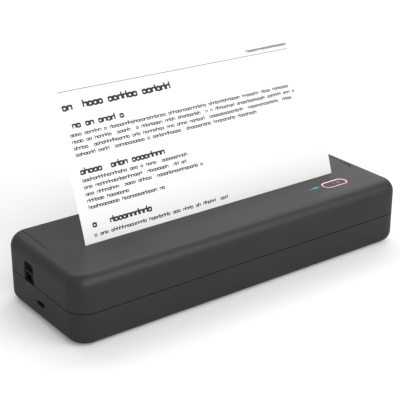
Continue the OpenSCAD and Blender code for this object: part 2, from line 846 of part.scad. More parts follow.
// Its hub reaches back to the side plate
module reduction_gear() {
    hub_x = plate_x + plate_t + slack;
    color([0.85, 0.85, 0.82]) difference() {
        union() {
            gear(gear_x2, red_y, red_z, small_teeth, small_phase);
            gear(gear_x1, red_y, red_z, large_teeth, large_phase);
            rod(hub_x, gear_x2 + gear_w/2, red_y, red_z, stud_r + 1.2);
        }
        rod(hub_x - 1, gear_x2 + gear_w + 1, red_y, red_z, stud_r + fit);
    }
}

module motor_pinion() {
    color([0.8, 0.7, 0.4]) {
        gear(gear_x1, motor_y, motor_z, pinion_teeth, pinion_phase);
        rod(plate_x - 5.5, gear_x1 + gear_w + 0.6, motor_y, motor_z, motor_shaft_r);
    }
}

module platen_shaft() {
    color([0.75, 0.75, 0.77]) {
        rod(-bush_x2 - flange_t - 2.4, bush_x2 + flange_t + 0.3, platen_y, platen_z, shaft_r);
        rod(bush_x2 + flange_t, gear_x2 + gear_w + 0.6, platen_y, platen_z, gear_seat_r);
    }
}

module platen_sleeve() {
    color([0.08, 0.08, 0.08]) side(-sleeve_x, 2*sleeve_x) translate([platen_y, platen_z]) difference() {
        circle(platen_r);
        circle(shaft_r);
    }
}

module platen_clip() {
    color([0.55, 0.55, 0.57]) side(-bush_x2 - flange_t - 1.5, 0.8) translate([platen_y, platen_z])
        difference() {
            circle(shaft_r + 1.5);
            circle(shaft_r);
            translate([0, -1.4]) square([6, 2.8]);
        }
}

module platen_bushes() {
    color([0.9, 0.88, 0.8]) for (s = [-1, 1]) {
        side(s > 0 ? bush_x1 : -bush_x2, bush_x2 - bush_x1) translate([platen_y, platen_z]) difference() {
            circle(bush_r);
            circle(shaft_r + fit);
        }
        side(s > 0 ? bush_x2 - eps : -bush_x2 - flange_t, flange_t + eps)
            translate([platen_y, platen_z]) difference() {
                circle(bush_r + 0.9);
                circle(shaft_r + fit);
            }
    }
}

module platen_bracket() {
    color([0.7, 0.7, 0.72]) {
        translate([-arm_x - arm_t, 0, roof_z - 1.4]) cube([2*(arm_x + arm_t), 12, 1.4]);
        for (s = [-1, 1])
            side(s > 0 ? arm_x : -arm_x - arm_t, arm_t) difference() {
                union() {
                    translate([platen_y, platen_z]) circle(shaft_r + 1.7);
                    translate([platen_y - shaft_r - 1.2, platen_z])
                        square([shaft_r + 1.2 + 8, roof_z - platen_z]);
                    translate([0, platen_z + 4]) square([12, roof_z - platen_z - 4]);
                }
                translate([platen_y, platen_z]) circle(shaft_r + 0.08);
            }
    }
}

bracket_screw_x = [-90, 0, 90];

module bracket_screws() {
    color([0.6, 0.6, 0.62]) for (x = bracket_screw_x) boss([x, 6], roof_z - 2.4, roof_z - 1.4, 1.8);
}

// ---- Rear cover ----

// Side view of the cover: the roof and the back wall, down to the rolled edge round the hinge axis
module cover_outline() {
    difference() {
        translate([cover_front - 1, hinge_z]) square([body_d, body_h]);
        translate([0, foot_h + wall])
            rounded_outline(body_d - 2*wall, body_h - 2*wall, top_r - wall, bottom_r - wall);
    }
    translate([hinge_y, hinge_z]) sector(hinge_in - wall, roll_edge_r, -100, 1);
}

// Side view of the ribs along the cover's two sides
module skirt_outline() {
    intersection() {
        difference() {
            translate([0, foot_h + wall/2])
                rounded_outline(body_d - wall - 1, body_h - wall, top_r - wall/2, bottom_r);
            translate([0, foot_h + skirt_h])
                rounded_outline(body_d - 2*skirt_h, body_h - 2*skirt_h, top_r - skirt_h, 1);
        }
        translate([cover_front + 4, hinge_z]) square(far);
    }
}

module rear_cover() {
    color([0.25, 0.25, 0.25]) difference() {
        union() {
            intersection() {
                case_solid();
                side(-cover_x, cover_w) cover_outline();
            }
            for (s = [-1, 1]) {
                side(s > 0 ? cover_x - 3.4 : -cover_x + 1.6, 1.8) skirt_outline();
                // The knuckle keeps inside the rounded corner of the case
                rod_at(s, cover_x - knuckle_l, cover_x, hinge_y, hinge_z, hinge_in - 1);
            }
        }
        // Cut front corners
        for (s = [-1, 1])
            translate([s*cover_x, cover_front, roof_z - 1]) rotate(45)
                cube([cover_cut*sqrt(2), cover_cut*sqrt(2), far], center = true);
        // The band along the slot slopes down to it
        side(-cover_x - 1, cover_w + 2)
            polygon([[cover_front - 1, top_z - band_drop*(band_w + 1)/band_w], [cover_front - 1, top_z + 1],
                     [cover_front + band_w, top_z + 1], [cover_front + band_w, top_z]]);
        // The front edge, and room for the paper in the slot
        translate([-far/2, cover_front - 2, 0]) cube([far, 2, far]);
        translate([-paper_w/2 - 2, cover_front - 1, roof_z - 1]) cube([paper_w + 4, 2, wall + 2]);
        for (s = [-1, 1])
            rod_at(s, cover_x - pin_in - slack, cover_x + 1, hinge_y, hinge_z, hinge_pin_r + fit);
    }
}

// ---- Paper ----

stub_r = 3;
roll_hub_x = paper_w/2 + 0.5;

module paper_roll() {
    color([0.97, 0.97, 0.97]) side(-paper_w/2, paper_w) translate([roll_y, roll_z]) difference() {
        circle(roll_r);
        circle(core_r);
    }
}

module roll_core() {
    color([0.7, 0.58, 0.42]) side(-paper_w/2, paper_w) translate([roll_y, roll_z]) difference() {
        circle(core_r);
        circle(core_r - 1);
    }
}

module roll_hub(s) {
    color([0.2, 0.2, 0.21]) {
        x0 = s > 0 ? roll_hub_x : -roll_hub_x - 1.6;
        side(x0, 1.6) translate([roll_y, roll_z]) circle(roll_r - 2);
        rod(s > 0 ? paper_w/2 - 12 : -roll_hub_x - eps, s > 0 ? roll_hub_x + eps : -paper_w/2 + 12,
            roll_y, roll_z, core_r - 1.1);
        rod(s > 0 ? roll_hub_x + 1.5 : -plate_x - plate_t - 0.5,
            s > 0 ? plate_x + plate_t + 0.5 : -roll_hub_x - 1.5, roll_y, roll_z, stub_r);
    }
}

module roll_hub_left() {
    roll_hub(-1);
}

module roll_hub_right() {
    roll_hub(1);
}

module printed_sheet() {
    color([0.99, 0.99, 0.99]) side(-paper_w/2, paper_w) translate([arc_y, arc_z])
        sector(sheet_r - paper_t/2, sheet_r + paper_t/2, 180 - top_lean, 180 - nip_lean, $fn = 720);
}

module paper_web() {
    color([0.97, 0.97, 0.97]) side(-paper_w/2, paper_w) {
        // Round the front of the platen, from the nip down
        translate([platen_y, platen_z])
            sector(web_in, web_in + paper_t, 180 - nip_lean + 1, web_a + eps);
        // Straight from the platen to the roll
        translate([platen_y, platen_z]) rotate(web_a) translate([web_in, 0])
            square([paper_t, sqrt(web_d*web_d - pow(roll_r + slack - web_in, 2))]);
    }
}

// ---- Print head ----

module head_ceramic() {
    color([0.9, 0.9, 0.88]) at_nip()
        translate([-head_l/2, sink_y2, -5]) cube([head_l, ceramic_t, 7.5]);
}

module head_drivers() {
    color([0.05, 0.05, 0.05]) at_nip()
        translate([-head_l/2 + 8, sink_y2, -8.5]) cube([head_l - 16, 0.8, 3.3]);
}

module head_heatsink() {
    color([0.78, 0.79, 0.8]) at_nip() difference() {
        union() {
            translate([-head_l/2, sink_y1, sink_low]) cube([head_l, sink_t, sink_high - sink_low]);
            for (s = [-1, 1]) side(s > 0 ? head_l/2 - 5 : -head_l/2, 5) {
                translate([rod_y, rod_z]) circle(2);
                translate([rod_y - 2, rod_z]) square([4, -rod_z + sink_low + eps]);
            }
        }
        for (z = [sink_high - 2.2, sink_high - 4.6])
            translate([-head_l/2 - 1, sink_y1 - 1, z]) cube([head_l + 2, 2.6, 1.2]);
        rod(-head_l/2 - 1, head_l/2 + 1, rod_y, rod_z, head_rod_r + fit);
    }
}

ribbon_w = 60;

module head_ribbon() {
    color([0.85, 0.6, 0.3]) at_nip() side(-ribbon_w/2, ribbon_w) {
        translate([sink_y1 - 0.32, sink_low + 0.2]) square([0.3, 2]);
        translate([sink_y1 - 2.2, sink_low]) square([2.18, 0.3]);
    }
}

// ---- Latch and release ----

// The latch hooks stand behind the bushes; their noses stop short of the bushes' way out
nose_r = 1;
nose_z = platen_z + bush_r + 1.2;
nose_y = hinge_y + nose_r + 0.35
    - sqrt(pow(norm([platen_y - hinge_y, platen_z - hinge_z]) - bush_r - 0.2, 2) - pow(nose_z - hinge_z, 2));
hook_mid = [nose_y + 2.2, platen_z - 4];
hook_top = [nose_y + 2.4, nose_z - 0.4];

module latch_hook(s) {
    color([0.7, 0.7, 0.72]) side(s > 0 ? hook_x : -hook_x - hook_t, hook_t) difference() {
        union() {
            translate([latch_y, latch_z]) circle(hub_r);
            link([latch_y, latch_z], hook_mid, 4);
            link(hook_mid, hook_top, 3);
            link(hook_top, [nose_y, nose_z], 2*nose_r);
        }
        translate([latch_y, latch_z]) circle(latch_r);
    }
}

module latch_hook_left() {
    latch_hook(-1);
}

module latch_hook_right() {
    latch_hook(1);
}

module latch_shaft() {
    color([0.75, 0.75, 0.77]) rod(lever_x - lever_t - 0.6, plate_x + plate_t + 0.8, latch_y, latch_z, latch_r);
}

lever_tip = [release_y, foot_z - slack - lever_tip_r];

module latch_lever() {
    color([0.85, 0.85, 0.82]) side(lever_x - lever_t, lever_t) difference() {
        union() {
            translate([latch_y, latch_z]) circle(hub_r);
            link([latch_y, latch_z], lever_tip, 2*lever_tip_r);
        }
        translate([latch_y, latch_z]) circle(latch_r);
    }
}

module latch_spring() {
    x0 = lever_x + slack;
    color([0.8, 0.8, 0.82]) side(x0, -plate_x - plate_t - slack - x0) translate([latch_y, latch_z]) difference() {
        circle(latch_r + 0.9);
        circle(latch_r + 0.3);
    }
}

module release_slide() {
    color([0.12, 0.12, 0.13]) {
        translate([slide_x, slide_y1, slide_z1]) cube([slide_t, slide_y2 - slide_y1, slide_z2 - slide_z1]);
        // Finger rib, flush with the outside of the case
        translate([-end_x + 0.1, release_y - rib_l/2, rib_z]) cube([slide_x + end_x - 0.1 + eps, rib_l, rib_t]);
        // Leg down to the lever
        translate([slide_x, release_y - foot_w/2, foot_z]) cube([slide_t, foot_w, slide_z1 - foot_z + eps]);
        translate([slide_x, release_y - foot_w/2, foot_z])
            cube([lever_x + 0.4 - slide_x, foot_w, 2.6]);
    }
}

base_shell();
top_shell();
rubber_feet();
case_screws();
side_plate_left();
side_plate_right();
frame_screws();
head_rod();
pressure_bar();
head_springs();
battery_tray();
battery_cells();
main_board();
board_chips();
board_screws();
io_board();
charge_socket();
button_board();
power_switch();
status_light();
light_ring();
motor_body();
gear_studs();
gear_clips();
paper_sensor();
tear_bar();
hinge_pins();
paper_web();
rear_cover();
platen_bracket();
bracket_screws();
platen_bushes();
platen_shaft();
platen_sleeve();
platen_gear();
platen_clip();
idler_gear();
reduction_gear();
motor_pinion();
paper_roll();
roll_core();
roll_hub_left();
roll_hub_right();
printed_sheet();
head_ceramic();
head_heatsink();
head_drivers();
head_ribbon();
latch_shaft();
latch_hook_left();
latch_hook_right();
latch_lever();
latch_spring();
release_slide();
power_button();
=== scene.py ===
import math

import bmesh
import bpy
from bpy.props import FloatProperty, FloatVectorProperty
from mathutils import Matrix, Vector


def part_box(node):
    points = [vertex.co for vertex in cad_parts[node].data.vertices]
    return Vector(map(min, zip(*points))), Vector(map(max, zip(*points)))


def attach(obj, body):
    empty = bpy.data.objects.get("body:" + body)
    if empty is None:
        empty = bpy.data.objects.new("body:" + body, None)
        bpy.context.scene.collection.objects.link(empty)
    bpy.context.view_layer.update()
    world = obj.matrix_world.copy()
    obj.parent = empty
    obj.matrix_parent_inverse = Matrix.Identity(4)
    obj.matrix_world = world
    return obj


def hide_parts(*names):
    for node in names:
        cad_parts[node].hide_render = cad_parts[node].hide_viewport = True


bl_info = {
    "name": "Portable Thermal Printer",
    "version": (1, 0, 0),
    "blender": (4, 5, 0),
    "location": "3D View > Sidebar > Printer",
    "description": "Dresses the frame of a portable thermal printer and lights it",
    "category": "Object",
}

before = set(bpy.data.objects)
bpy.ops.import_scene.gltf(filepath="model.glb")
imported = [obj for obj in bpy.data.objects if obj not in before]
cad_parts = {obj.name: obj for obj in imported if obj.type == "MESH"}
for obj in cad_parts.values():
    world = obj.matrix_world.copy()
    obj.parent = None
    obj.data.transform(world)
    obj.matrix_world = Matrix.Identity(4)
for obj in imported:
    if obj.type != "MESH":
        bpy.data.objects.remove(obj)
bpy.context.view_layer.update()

MM = 0.001
FULL_TURN = 2 * math.pi


# ---- Sizes and colours a user would change ----


class PrinterCase(bpy.types.PropertyGroup):
    """Colour and texture of the case"""

    colour: FloatVectorProperty(
        name="Plastic", description="Colour of the case plastic",
        default=(0.0290, 0.0275, 0.0272), subtype="COLOR", min=0, max=1)
    grain: FloatProperty(
        name="Grain", description="Size of the fine texture moulded into the plastic",
        default=0.35 * MM, unit="LENGTH", precision=5)


class PrinterPaper(bpy.types.PropertyGroup):
    """Colour, size and curl of the paper"""

    colour: FloatVectorProperty(
        name="Paper", description="Colour of the coated paper",
        default=(0.93, 0.93, 0.93), subtype="COLOR", min=0, max=1)
    ink: FloatVectorProperty(
        name="Print", description="Colour of the thermal print",
        default=(0.012, 0.012, 0.014), subtype="COLOR", min=0, max=1)
    width: FloatProperty(
        name="Width", description="Width of the paper", default=210 * MM, unit="LENGTH")
    out: FloatProperty(
        name="Out of Slot", description="Length of sheet that stands out of the slot",
        default=111 * MM, unit="LENGTH")
    lean: FloatProperty(
        name="Lean", description="Lean of the sheet from upright at the slot",
        default=math.radians(17.2), unit="ROTATION")
    curl: FloatProperty(
        name="Curl", description="Radius of the curl that the sheet keeps",
        default=360 * MM, unit="LENGTH")


class PrinterLights(bpy.types.PropertyGroup):
    """Colours of the two lights on the top"""

    ring: FloatVectorProperty(
        name="Ring", description="Colour of the lit ring round the power button",
        default=(1.0, 0.56, 0.63), subtype="COLOR", min=0, max=1)
    status: FloatVectorProperty(
        name="Status", description="Colour of the status light",
        default=(0.04, 0.24, 0.38), subtype="COLOR", min=0, max=1)


class PrinterStudio(bpy.types.PropertyGroup):
    """Where the camera looks from"""

    azimuth: FloatProperty(
        name="Azimuth", description="Direction of the camera round the printer",
        default=math.radians(-36.35), unit="ROTATION")
    elevation: FloatProperty(
        name="Elevation", description="Height of the camera above the horizon",
        default=math.radians(23.14), unit="ROTATION")
    lens: FloatProperty(
        name="Lens", description="Focal length of the camera in millimetres", default=100.4)


# ---- Shader building ----


class Link:
    """An output of a shader node. Maths on it adds Math nodes."""

    def __init__(self, finish, socket):
        self.finish = finish
        self.socket = socket

    def _math(self, operation, *values):
        return self.finish.add("ShaderNodeMath", {"operation": operation}, dict(enumerate(values)))

    def __add__(self, other):
        return self._math("ADD", self, other)

    def __sub__(self, other):
        return self._math("SUBTRACT", self, other)

    def __rsub__(self, other):
        return self._math("SUBTRACT", other, self)

    def __mul__(self, other):
        return self._math("MULTIPLY", self, other)

    def __truediv__(self, other):
        return self._math("DIVIDE", self, other)

    def __pow__(self, other):
        return self * self if other == 2 else self._math("POWER", self, other)

    __radd__ = __add__
    __rmul__ = __mul__

    def whole(self):
        return self._math("FLOOR", self)

    def away_from(self, value):
        """The distance from value."""
        return self._math("ABSOLUTE", self - value)

    def wave(self):
        return self._math("SINE", self)

    def rises(self, low, high):
        """0 below low and 1 above high, in a straight line between them."""
        return self.finish.add(
            "ShaderNodeMapRange", {"clamp": True},
            {"Value": self, "From Min": low, "From Max": high})

    def over(self, value):
        """1 above value and 0 below it."""
        return self.rises(value, value + 0.0001)

    def between(self, low, high, soft):
        """1 from low to high, with soft edges."""
        return self.rises(low - soft, low) * (1 - self.rises(high, high + soft))


class Finish:
    """A procedural material: nodes that feed one shader, whose constants are given first."""

    def __init__(self, name, constants):
        self.material = bpy.data.materials.new(name)
        self.material.use_nodes = True
        self.tree = self.material.node_tree
        self.tree.nodes.clear()
        self.shader = self.tree.nodes.new("ShaderNodeBsdfPrincipled")
        output = self.tree.nodes.new("ShaderNodeOutputMaterial")
        self.tree.links.new(self.shader.outputs[0], output.inputs[0])
        for socket, value in constants.items():
            self.set(socket, value)

    def set(self, socket, value):
        """Feeds the shader's socket from a number, a colour or a link."""
        self._feed(self.shader.inputs[socket], value)

    def _feed(self, target, value):
        if isinstance(value, Link):
            self.tree.links.new(value.socket, target)
        elif getattr(target, "type", "") == "RGBA" and len(value) == 3:
            target.default_value = (*value, 1)
        else:
            target.default_value = value

    def add(self, kind, settings=None, sockets=None, output=0):
        """Adds a node: its settings first, then its sockets' values or links."""
        node = self.tree.nodes.new(kind)
        for name, value in (settings or {}).items():
            setattr(node, name, value)
        for name, value in (sockets or {}).items():
            self._feed(node.inputs[name], value)
        return Link(self, node.outputs[output])

    def place(self, stretch=(1, 1, 1), centre=(0, 0, 0)):
        """Object coordinates in metres, moved to a centre and stretched."""
        here = self.add("ShaderNodeTexCoord", output="Object")
        return self.add(
            "ShaderNodeMapping", {"vector_type": "POINT"},
            {"Vector": here, "Scale": stretch,
             "Location": tuple(-c * s for c, s in zip(centre, stretch))})

    def parts(self, vector):
        """The X, Y and Z of a vector."""
        node = self.tree.nodes.new("ShaderNodeSeparateXYZ")
        self.tree.links.new(vector.socket, node.inputs[0])
        return [Link(self, node.outputs[i]) for i in range(3)]

    def noise(self, size, detail=3, vector=None):
        """Noise with features of a size in metres."""
        return self.add(
            "ShaderNodeTexNoise", {},
            {"Vector": vector or self.place(), "Scale": 1 / size, "Detail": detail})

    def mix(self, share, low, high):
        """From one colour to another."""
        node = self.tree.nodes.new("ShaderNodeMix")
        node.data_type = "RGBA"
        for name, value in (("Factor", share), ("A", low), ("B", high)):
            target = next(s for s in node.inputs if s.name == name and s.enabled)
            self._feed(target, value)
        return Link(self, next(s for s in node.outputs if s.enabled))

    def bump(self, height, depth, strength=1.0):
        """Raises the surface by height, from 0 to 1, times a depth in metres."""
        self.set("Normal", self.add(
            "ShaderNodeBump", {}, {"Height": height, "Distance": depth, "Strength": strength}))


def darker(colour, share):
    return tuple(c * share for c in colour)


def moulded(name, colour, grain, roughness=0.44, depth=0.03 * MM, groove=None):
    """Moulded plastic: a fine even grain, and a faint unevenness in tone and gloss.

    A groove, given as the heights of its edges in millimetres, is dull and gets painted shade: its
    colour is darkened.
    """
    mottle, tint = 18 * MM, 0.07
    finish = Finish(name, {"IOR": 1.42})
    fine = finish.noise(grain, 2)
    broad = finish.noise(mottle, 3)
    cloud = (broad * 0.7 + fine * 0.3).rises(0.3, 0.7)
    tone = finish.mix(cloud, darker(colour, 1 - tint), darker(colour, 1 + tint))
    dullness = broad * 0.06 + fine * 0.08 + (roughness - 0.07)
    if groove:
        height = finish.parts(finish.place())[2] / MM
        # Painted shade: the groove's colour is darkened where shade falls in it
        groove_shade = height.between(*groove, 0.02)
        tone = finish.mix(groove_shade, tone, darker(colour, 0.1))
        dullness = groove_shade * 0.4 + dullness
    finish.set("Base Color", tone)
    finish.set("Roughness", dullness)
    finish.bump(fine, depth, 0.5)
    return finish


def metal(name, colour, roughness, along=(0.03, 1, 1), streak=0.25 * MM):
    """Metal with drawn or rolled streaks along one way."""
    stain = 9 * MM
    finish = Finish(name, {"Metallic": 1.0})
    streaks = finish.noise(streak, 4, finish.place(along))
    stains = finish.noise(stain, 3)
    finish.set("Base Color", finish.mix(streaks * 0.6 + stains * 0.4, darker(colour, 0.8), colour))
    finish.set("Roughness", streaks * 0.14 + stains * 0.1 + (roughness - 0.12))
    finish.bump(streaks, 0.01 * MM, 0.4)
    return finish


def paper_base(finish, colour, ink=None, printed=None):
    """Coated paper: cloudiness and fibres under the coating, and print where there is any."""
    clump, fibre = 2.5 * MM, 0.12 * MM
    cloud = finish.noise(clump, 4)
    fibres = finish.noise(fibre, 2, finish.place((0.3, 1, 1)))
    blank = finish.mix(cloud, darker(colour, 0.985), colour)
    if printed is not None:
        blank = finish.mix(printed, blank, ink)
    finish.set("Base Color", blank)
    finish.set("Roughness", fibres * 0.1 + 0.5)
    finish.bump(fibres, 0.006 * MM, 0.5)
    return finish


# ---- Modelling ----


def block(bm, low, high, corner):
    """A block between two corners in millimetres, with rounded uprights."""
    low, high = Vector(low), Vector(high)
    made = bmesh.ops.create_cube(bm, size=1)["verts"]
    bmesh.ops.scale(bm, vec=high - low, verts=made)
    bmesh.ops.translate(bm, vec=(low + high) / 2, verts=made)
    uprights = list({e for v in made for e in v.link_edges
                     if abs(e.verts[0].co.z - e.verts[1].co.z) > 1e-5})
    bmesh.ops.bevel(bm, geom=uprights, offset=corner, segments=6, profile=0.5,
                    affect="EDGES", material=-1, clamp_overlap=False)


def drawn_apart(bm, middle, length, profile, closed, segments):
    """A profile of (radius, z) pairs spun round an upright axis, its halves apart along X."""
    middle = Vector(middle)
    others = set(bm.verts)
    # Turned by half a step, so that no point is on the line between the halves
    turn = Matrix.Rotation(math.pi / segments, 3, "Z")
    verts = [bm.verts.new(turn @ Vector((0, r, 0)) + Vector((middle.x, middle.y, z)))
             for r, z in profile]
    edges = [bm.edges.new(pair) for pair in zip(verts, verts[1:] + (verts[:1] if closed else []))]
    bmesh.ops.spin(
        bm, geom=[*verts, *edges], cent=middle, axis=(0, 0, 1), angle=FULL_TURN,
        steps=segments, use_merge=True)
    for v in bm.verts:
        if v not in others:
            v.co.x += length / 2 if v.co.x > middle.x else -length / 2
    if not closed:
        bmesh.ops.holes_fill(bm, edges=[e for e in bm.edges if e.is_boundary], sides=0)
    bmesh.ops.recalc_face_normals(bm, faces=bm.faces)


def stretched_ring(bm, middle, length, profile, segments=96):
    """A ring with two round ends and two straight sides."""
    drawn_apart(bm, middle, length, profile, True, segments)


def pill(bm, low, high, top=0.05, bottom=0.05, segments=96, steps=8):
    """A solid between two corners in millimetres, with round ends and softened edges."""
    low, high = Vector(low), Vector(high)
    radius = (high.y - low.y) / 2
    quarter = [math.pi / 2 * i / steps for i in range(steps + 1)]
    profile = [(radius - top + top * math.sin(a), high.z - top + top * math.cos(a))
               for a in quarter]
    profile += [(radius - bottom + bottom * math.cos(a), low.z + bottom - bottom * math.sin(a))
                for a in quarter]
    drawn_apart(bm, (low + high) / 2, high.x - low.x - 2 * radius, profile, False, segments)


def rod(bm, start, end, radius, segments=48):
    """A round bar between two points in millimetres."""
    start, end = Vector(start), Vector(end)
    way = end - start
    turn = way.to_track_quat("Z", "Y").to_matrix().to_4x4()
    bmesh.ops.create_cone(
        bm, cap_ends=True, segments=segments, radius1=radius, radius2=radius,
        depth=way.length, matrix=Matrix.Translation((start + end) / 2) @ turn)


def turned(bm, profile, start, segments=64):
    """A closed profile of (distance along X, radius) pairs, spun round X through start."""
    start = Vector(start)
    verts = [bm.verts.new(start + Vector((x, 0, r))) for x, r in profile]
    edges = [bm.edges.new(pair) for pair in zip(verts, verts[1:] + verts[:1])]
    bmesh.ops.spin(
        bm, geom=[*verts, *edges], cent=start, axis=(1, 0, 0), angle=FULL_TURN,
        steps=segments, use_merge=True)
    bmesh.ops.recalc_face_normals(bm, faces=bm.faces)


def coil(bm, start, end, radius, wire, turns, sides=10, steps=20):
    """A round spring from start to end: a ring of wire, spun while it moves along."""
    start, end = Vector(start), Vector(end)
    way = (end - start).normalized()
    across = way.orthogonal().normalized()
    ring = bmesh.ops.create_circle(
        bm, segments=sides, radius=wire,
        matrix=Matrix.Translation(start + across * radius)
        @ way.cross(across).to_track_quat("Z", "Y").to_matrix().to_4x4())["verts"]
    edges = list({e for v in ring for e in v.link_edges})
    bmesh.ops.spin(
        bm, geom=[*ring, *edges], cent=start, axis=way, dvec=(end - start) / (turns * steps),
        angle=turns * FULL_TURN, steps=round(turns * steps))
    bmesh.ops.holes_fill(bm, edges=[e for e in bm.edges if e.is_boundary], sides=0)
    bmesh.ops.recalc_face_normals(bm, faces=bm.faces)


def piece(name, bm, body, finish, replaces, smooth=35):
    """A finished piece from a mesh in millimetres, riding on a body in place of frame nodes."""
    bmesh.ops.scale(bm, vec=(MM, MM, MM), verts=bm.verts)
    mesh = bpy.data.meshes.new(name)
    bm.to_mesh(mesh)
    bm.free()
    mesh.shade_smooth()
    mesh.set_sharp_from_angle(angle=math.radians(smooth))
    mesh.materials.append(finish.material)
    made = bpy.data.objects.new(name, mesh)
    bpy.context.scene.collection.objects.link(made)
    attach(made, body)
    if replaces:
        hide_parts(*replaces)


def low(node):
    """The lowest corner of a node's box, in millimetres."""
    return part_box(node)[0] / MM


def high(node):
    """The highest corner of a node's box, in millimetres."""
    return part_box(node)[1] / MM


def centre(node):
    return (low(node) + high(node)) / 2


def settings():
    """The values that a user can change: case, paper, lights and studio."""
    scene = bpy.context.scene
    return scene.printer_case, scene.printer_paper, scene.printer_lights, scene.printer_studio


def refinish(finish, *nodes):
    """Gives nodes of the frame a finish."""
    for node in nodes:
        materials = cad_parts[node].data.materials
        materials.clear()
        materials.append(finish.material)


# ---- Case ----


class PRINTER_OT_case(bpy.types.Operator):
    """Finishes the two shells and the rear cover in satin plastic, with painted shade in the
    parting groove
    """

    bl_idname = "printer.case"
    bl_label = "Case"

    def execute(self, context):
        case = settings()[0]
        parting, groove = low("top_shell").z, 0.5
        # The parting groove gets painted shade in the plastic's colour
        plastic = moulded(
            "Body_plastic", case.colour, case.grain, groove=(parting - groove, parting))
        refinish(plastic, "base_shell", "top_shell", "rear_cover")
        return {"FINISHED"}


class PRINTER_OT_feet(bpy.types.Operator):
    """Makes the four rubber feet with a soft lower edge"""

    bl_idname = "printer.feet"
    bl_label = "Rubber Feet"

    def execute(self, context):
        rubber = moulded("Foot_rubber", (0.02, 0.02, 0.02), 0.2 * MM, 0.75)
        ground, far = low("rubber_feet").z, high("rubber_feet")
        length, width = 15.9, 6.9
        bm = bmesh.new()
        for x in (-far.x, far.x - length):
            for y in (-far.y, far.y - width):
                pill(bm, (x, y, ground), (x + length, y + width, far.z), bottom=0.3, segments=48)
        piece("Feet", bm, "case", rubber, ["rubber_feet"])
        return {"FINISHED"}


# ---- Controls on the top ----


def lit(name, colour, strength):
    """A lit window: a faint grain in its glow."""
    finish = Finish(name, {"Roughness": 0.3, "Emission Strength": strength})
    glow = finish.noise(1.2 * MM, 2)
    for socket in ("Base Color", "Emission Color"):
        finish.set(socket, finish.mix(glow, darker(colour, 0.95), colour))
    return finish


class PRINTER_OT_controls(bpy.types.Operator):
    """Makes the power button, the lit ring round it and the status light"""

    bl_idname = "printer.controls"
    bl_label = "Button and Lights"

    def execute(self, context):
        lights = settings()[2]
        band, seat, proud = 0.95, 0.2, 0.03
        ring_low, ring_high = low("light_ring"), high("light_ring")
        outer = (ring_high.y - ring_low.y) / 2
        straight = ring_high.x - ring_low.x - 2 * outer
        top, foot = ring_high.z, ring_low.z
        soft = 0.3
        cut = 0.3 * soft
        ring = bmesh.new()
        stretched_ring(ring, centre("light_ring"), straight, [
            (outer - band, foot), (outer, foot), (outer, top - soft), (outer - cut, top - cut),
            (outer - soft, top), (outer - band + soft, top), (outer - band + cut, top - cut),
            (outer - band, top - soft)])
        glow = lit("Ring_light", lights.ring, 0.34)
        piece("Ring", ring, "case", glow, ["light_ring"], smooth=60)

        # The button is a cap in the ring, on a wider plate, on a stem
        satin = moulded("Button_plastic", (0.032, 0.026, 0.026), 0.25 * MM, 0.45)
        under, over = low("power_button"), high("power_button")
        middle = centre("power_button")
        cap_x = outer + straight / 2 - band - seat
        cap_y = outer - band - seat
        plate_top, plate_t, lap, stem_r = foot - 0.3, 0.7, 0.1, 1.6
        button = bmesh.new()
        pill(button, (middle.x - cap_x, middle.y - cap_y, plate_top - lap),
             (middle.x + cap_x, middle.y + cap_y, over.z), top=0.5)
        pill(button, (under.x, under.y, plate_top - plate_t), (over.x, over.y, plate_top))
        rod(button, (middle.x, middle.y, under.z),
            (middle.x, middle.y, plate_top - plate_t + lap), stem_r)
        piece("Button", button, "button", satin, ["power_button"])

        # Its two marks are a bar and a ring
        bar_x, mark_y = middle.x - 1.2, middle.y - 0.5
        bar_half, bar_reach = 0.18, 0.9
        mark_ring, inner_r, outer_r = (middle.x + 3.2, mark_y, 0), 0.55, 0.85
        sunk, mark_top = over.z - 0.3, over.z + proud
        marks = bmesh.new()
        block(marks, (bar_x - bar_half, mark_y - bar_reach, sunk),
              (bar_x + bar_half, mark_y + bar_reach, mark_top), corner=0.17)
        stretched_ring(marks, mark_ring, 0.5, [
            (inner_r, sunk), (outer_r, sunk), (outer_r, mark_top), (inner_r, mark_top)], 32)
        ink = moulded("Mark_ink", (0.52, 0.52, 0.44), 0.1 * MM, 0.5)
        piece("Button_marks", marks, "button", ink, [])

        light_low, light_high = low("status_light"), high("status_light")
        lens = bmesh.new()
        pill(lens, light_low, light_high, top=0.3)
        glow = lit("Status_light", lights.status, 0.45)
        piece("Status_lens", lens, "case", glow, ["status_light"])
        dot_x, dot_y, dot_r, sunk = light_low.x - 1.7, middle.y + 1.4, 0.35, light_high.z - 0.4
        dot = bmesh.new()
        rod(dot, (dot_x, dot_y, sunk), (dot_x, dot_y, light_high.z + proud), dot_r, 24)
        piece("Status_dot", dot, "case", lit("Dot_light", (0.8, 0.8, 0.8), 0.4), [])
        return {"FINISHED"}


# ---- Paper ----

# Lines of the page in millimetres: height of the middle, left end, right end,
# x-height and width of a letter
MARGIN = -97.2
TITLE = [(87.2, MARGIN, -14.4, 3.3, 3.8)]
HEADINGS = [(z, MARGIN, right, 2.8, 3.25) for z, right in (
    (75.0, -50.3), (45.2, -32.6), (11.0, -50.9))]
BODY = [(z, MARGIN, right, 1.75, 2.1) for z, right in (
    (69.2, 84.0), (64.9, 87.0), (60.6, 84.0), (56.4, 50.2), (39.8, -16.0),
    (35.3, -16.8), (30.9, -5.8), (26.6, -65.4), (22.3, -38.6), (4.4, 10.0))]
HEADER = [(99.6, 52.0, 93.0, 1.6, 2.3)]
# The thin rule over the title: height at its left end, left end, right end, fall along it
RULE = (98.1, MARGIN, 92.9, 0.011)

# The made-up letters: shares of them, and sizes in shares of a letter's width or height
EMPTY_CELLS = 0.155
ROUND_LETTERS = 0.58
TALL_STEMS = 0.32
THIN_STROKE, BOLD_STROKE = 0.15, 0.2
BOWL_RADIUS, BOWL_SQUEEZE = 0.4, 0.92
LEFT_STEM, RIGHT_STEM = 0.12, 0.84
# How far a line's letters reach from its middle, in x-heights, and the step between lines' seeds
LINE_REACH = 1.15
SEED_STEP = 211.0


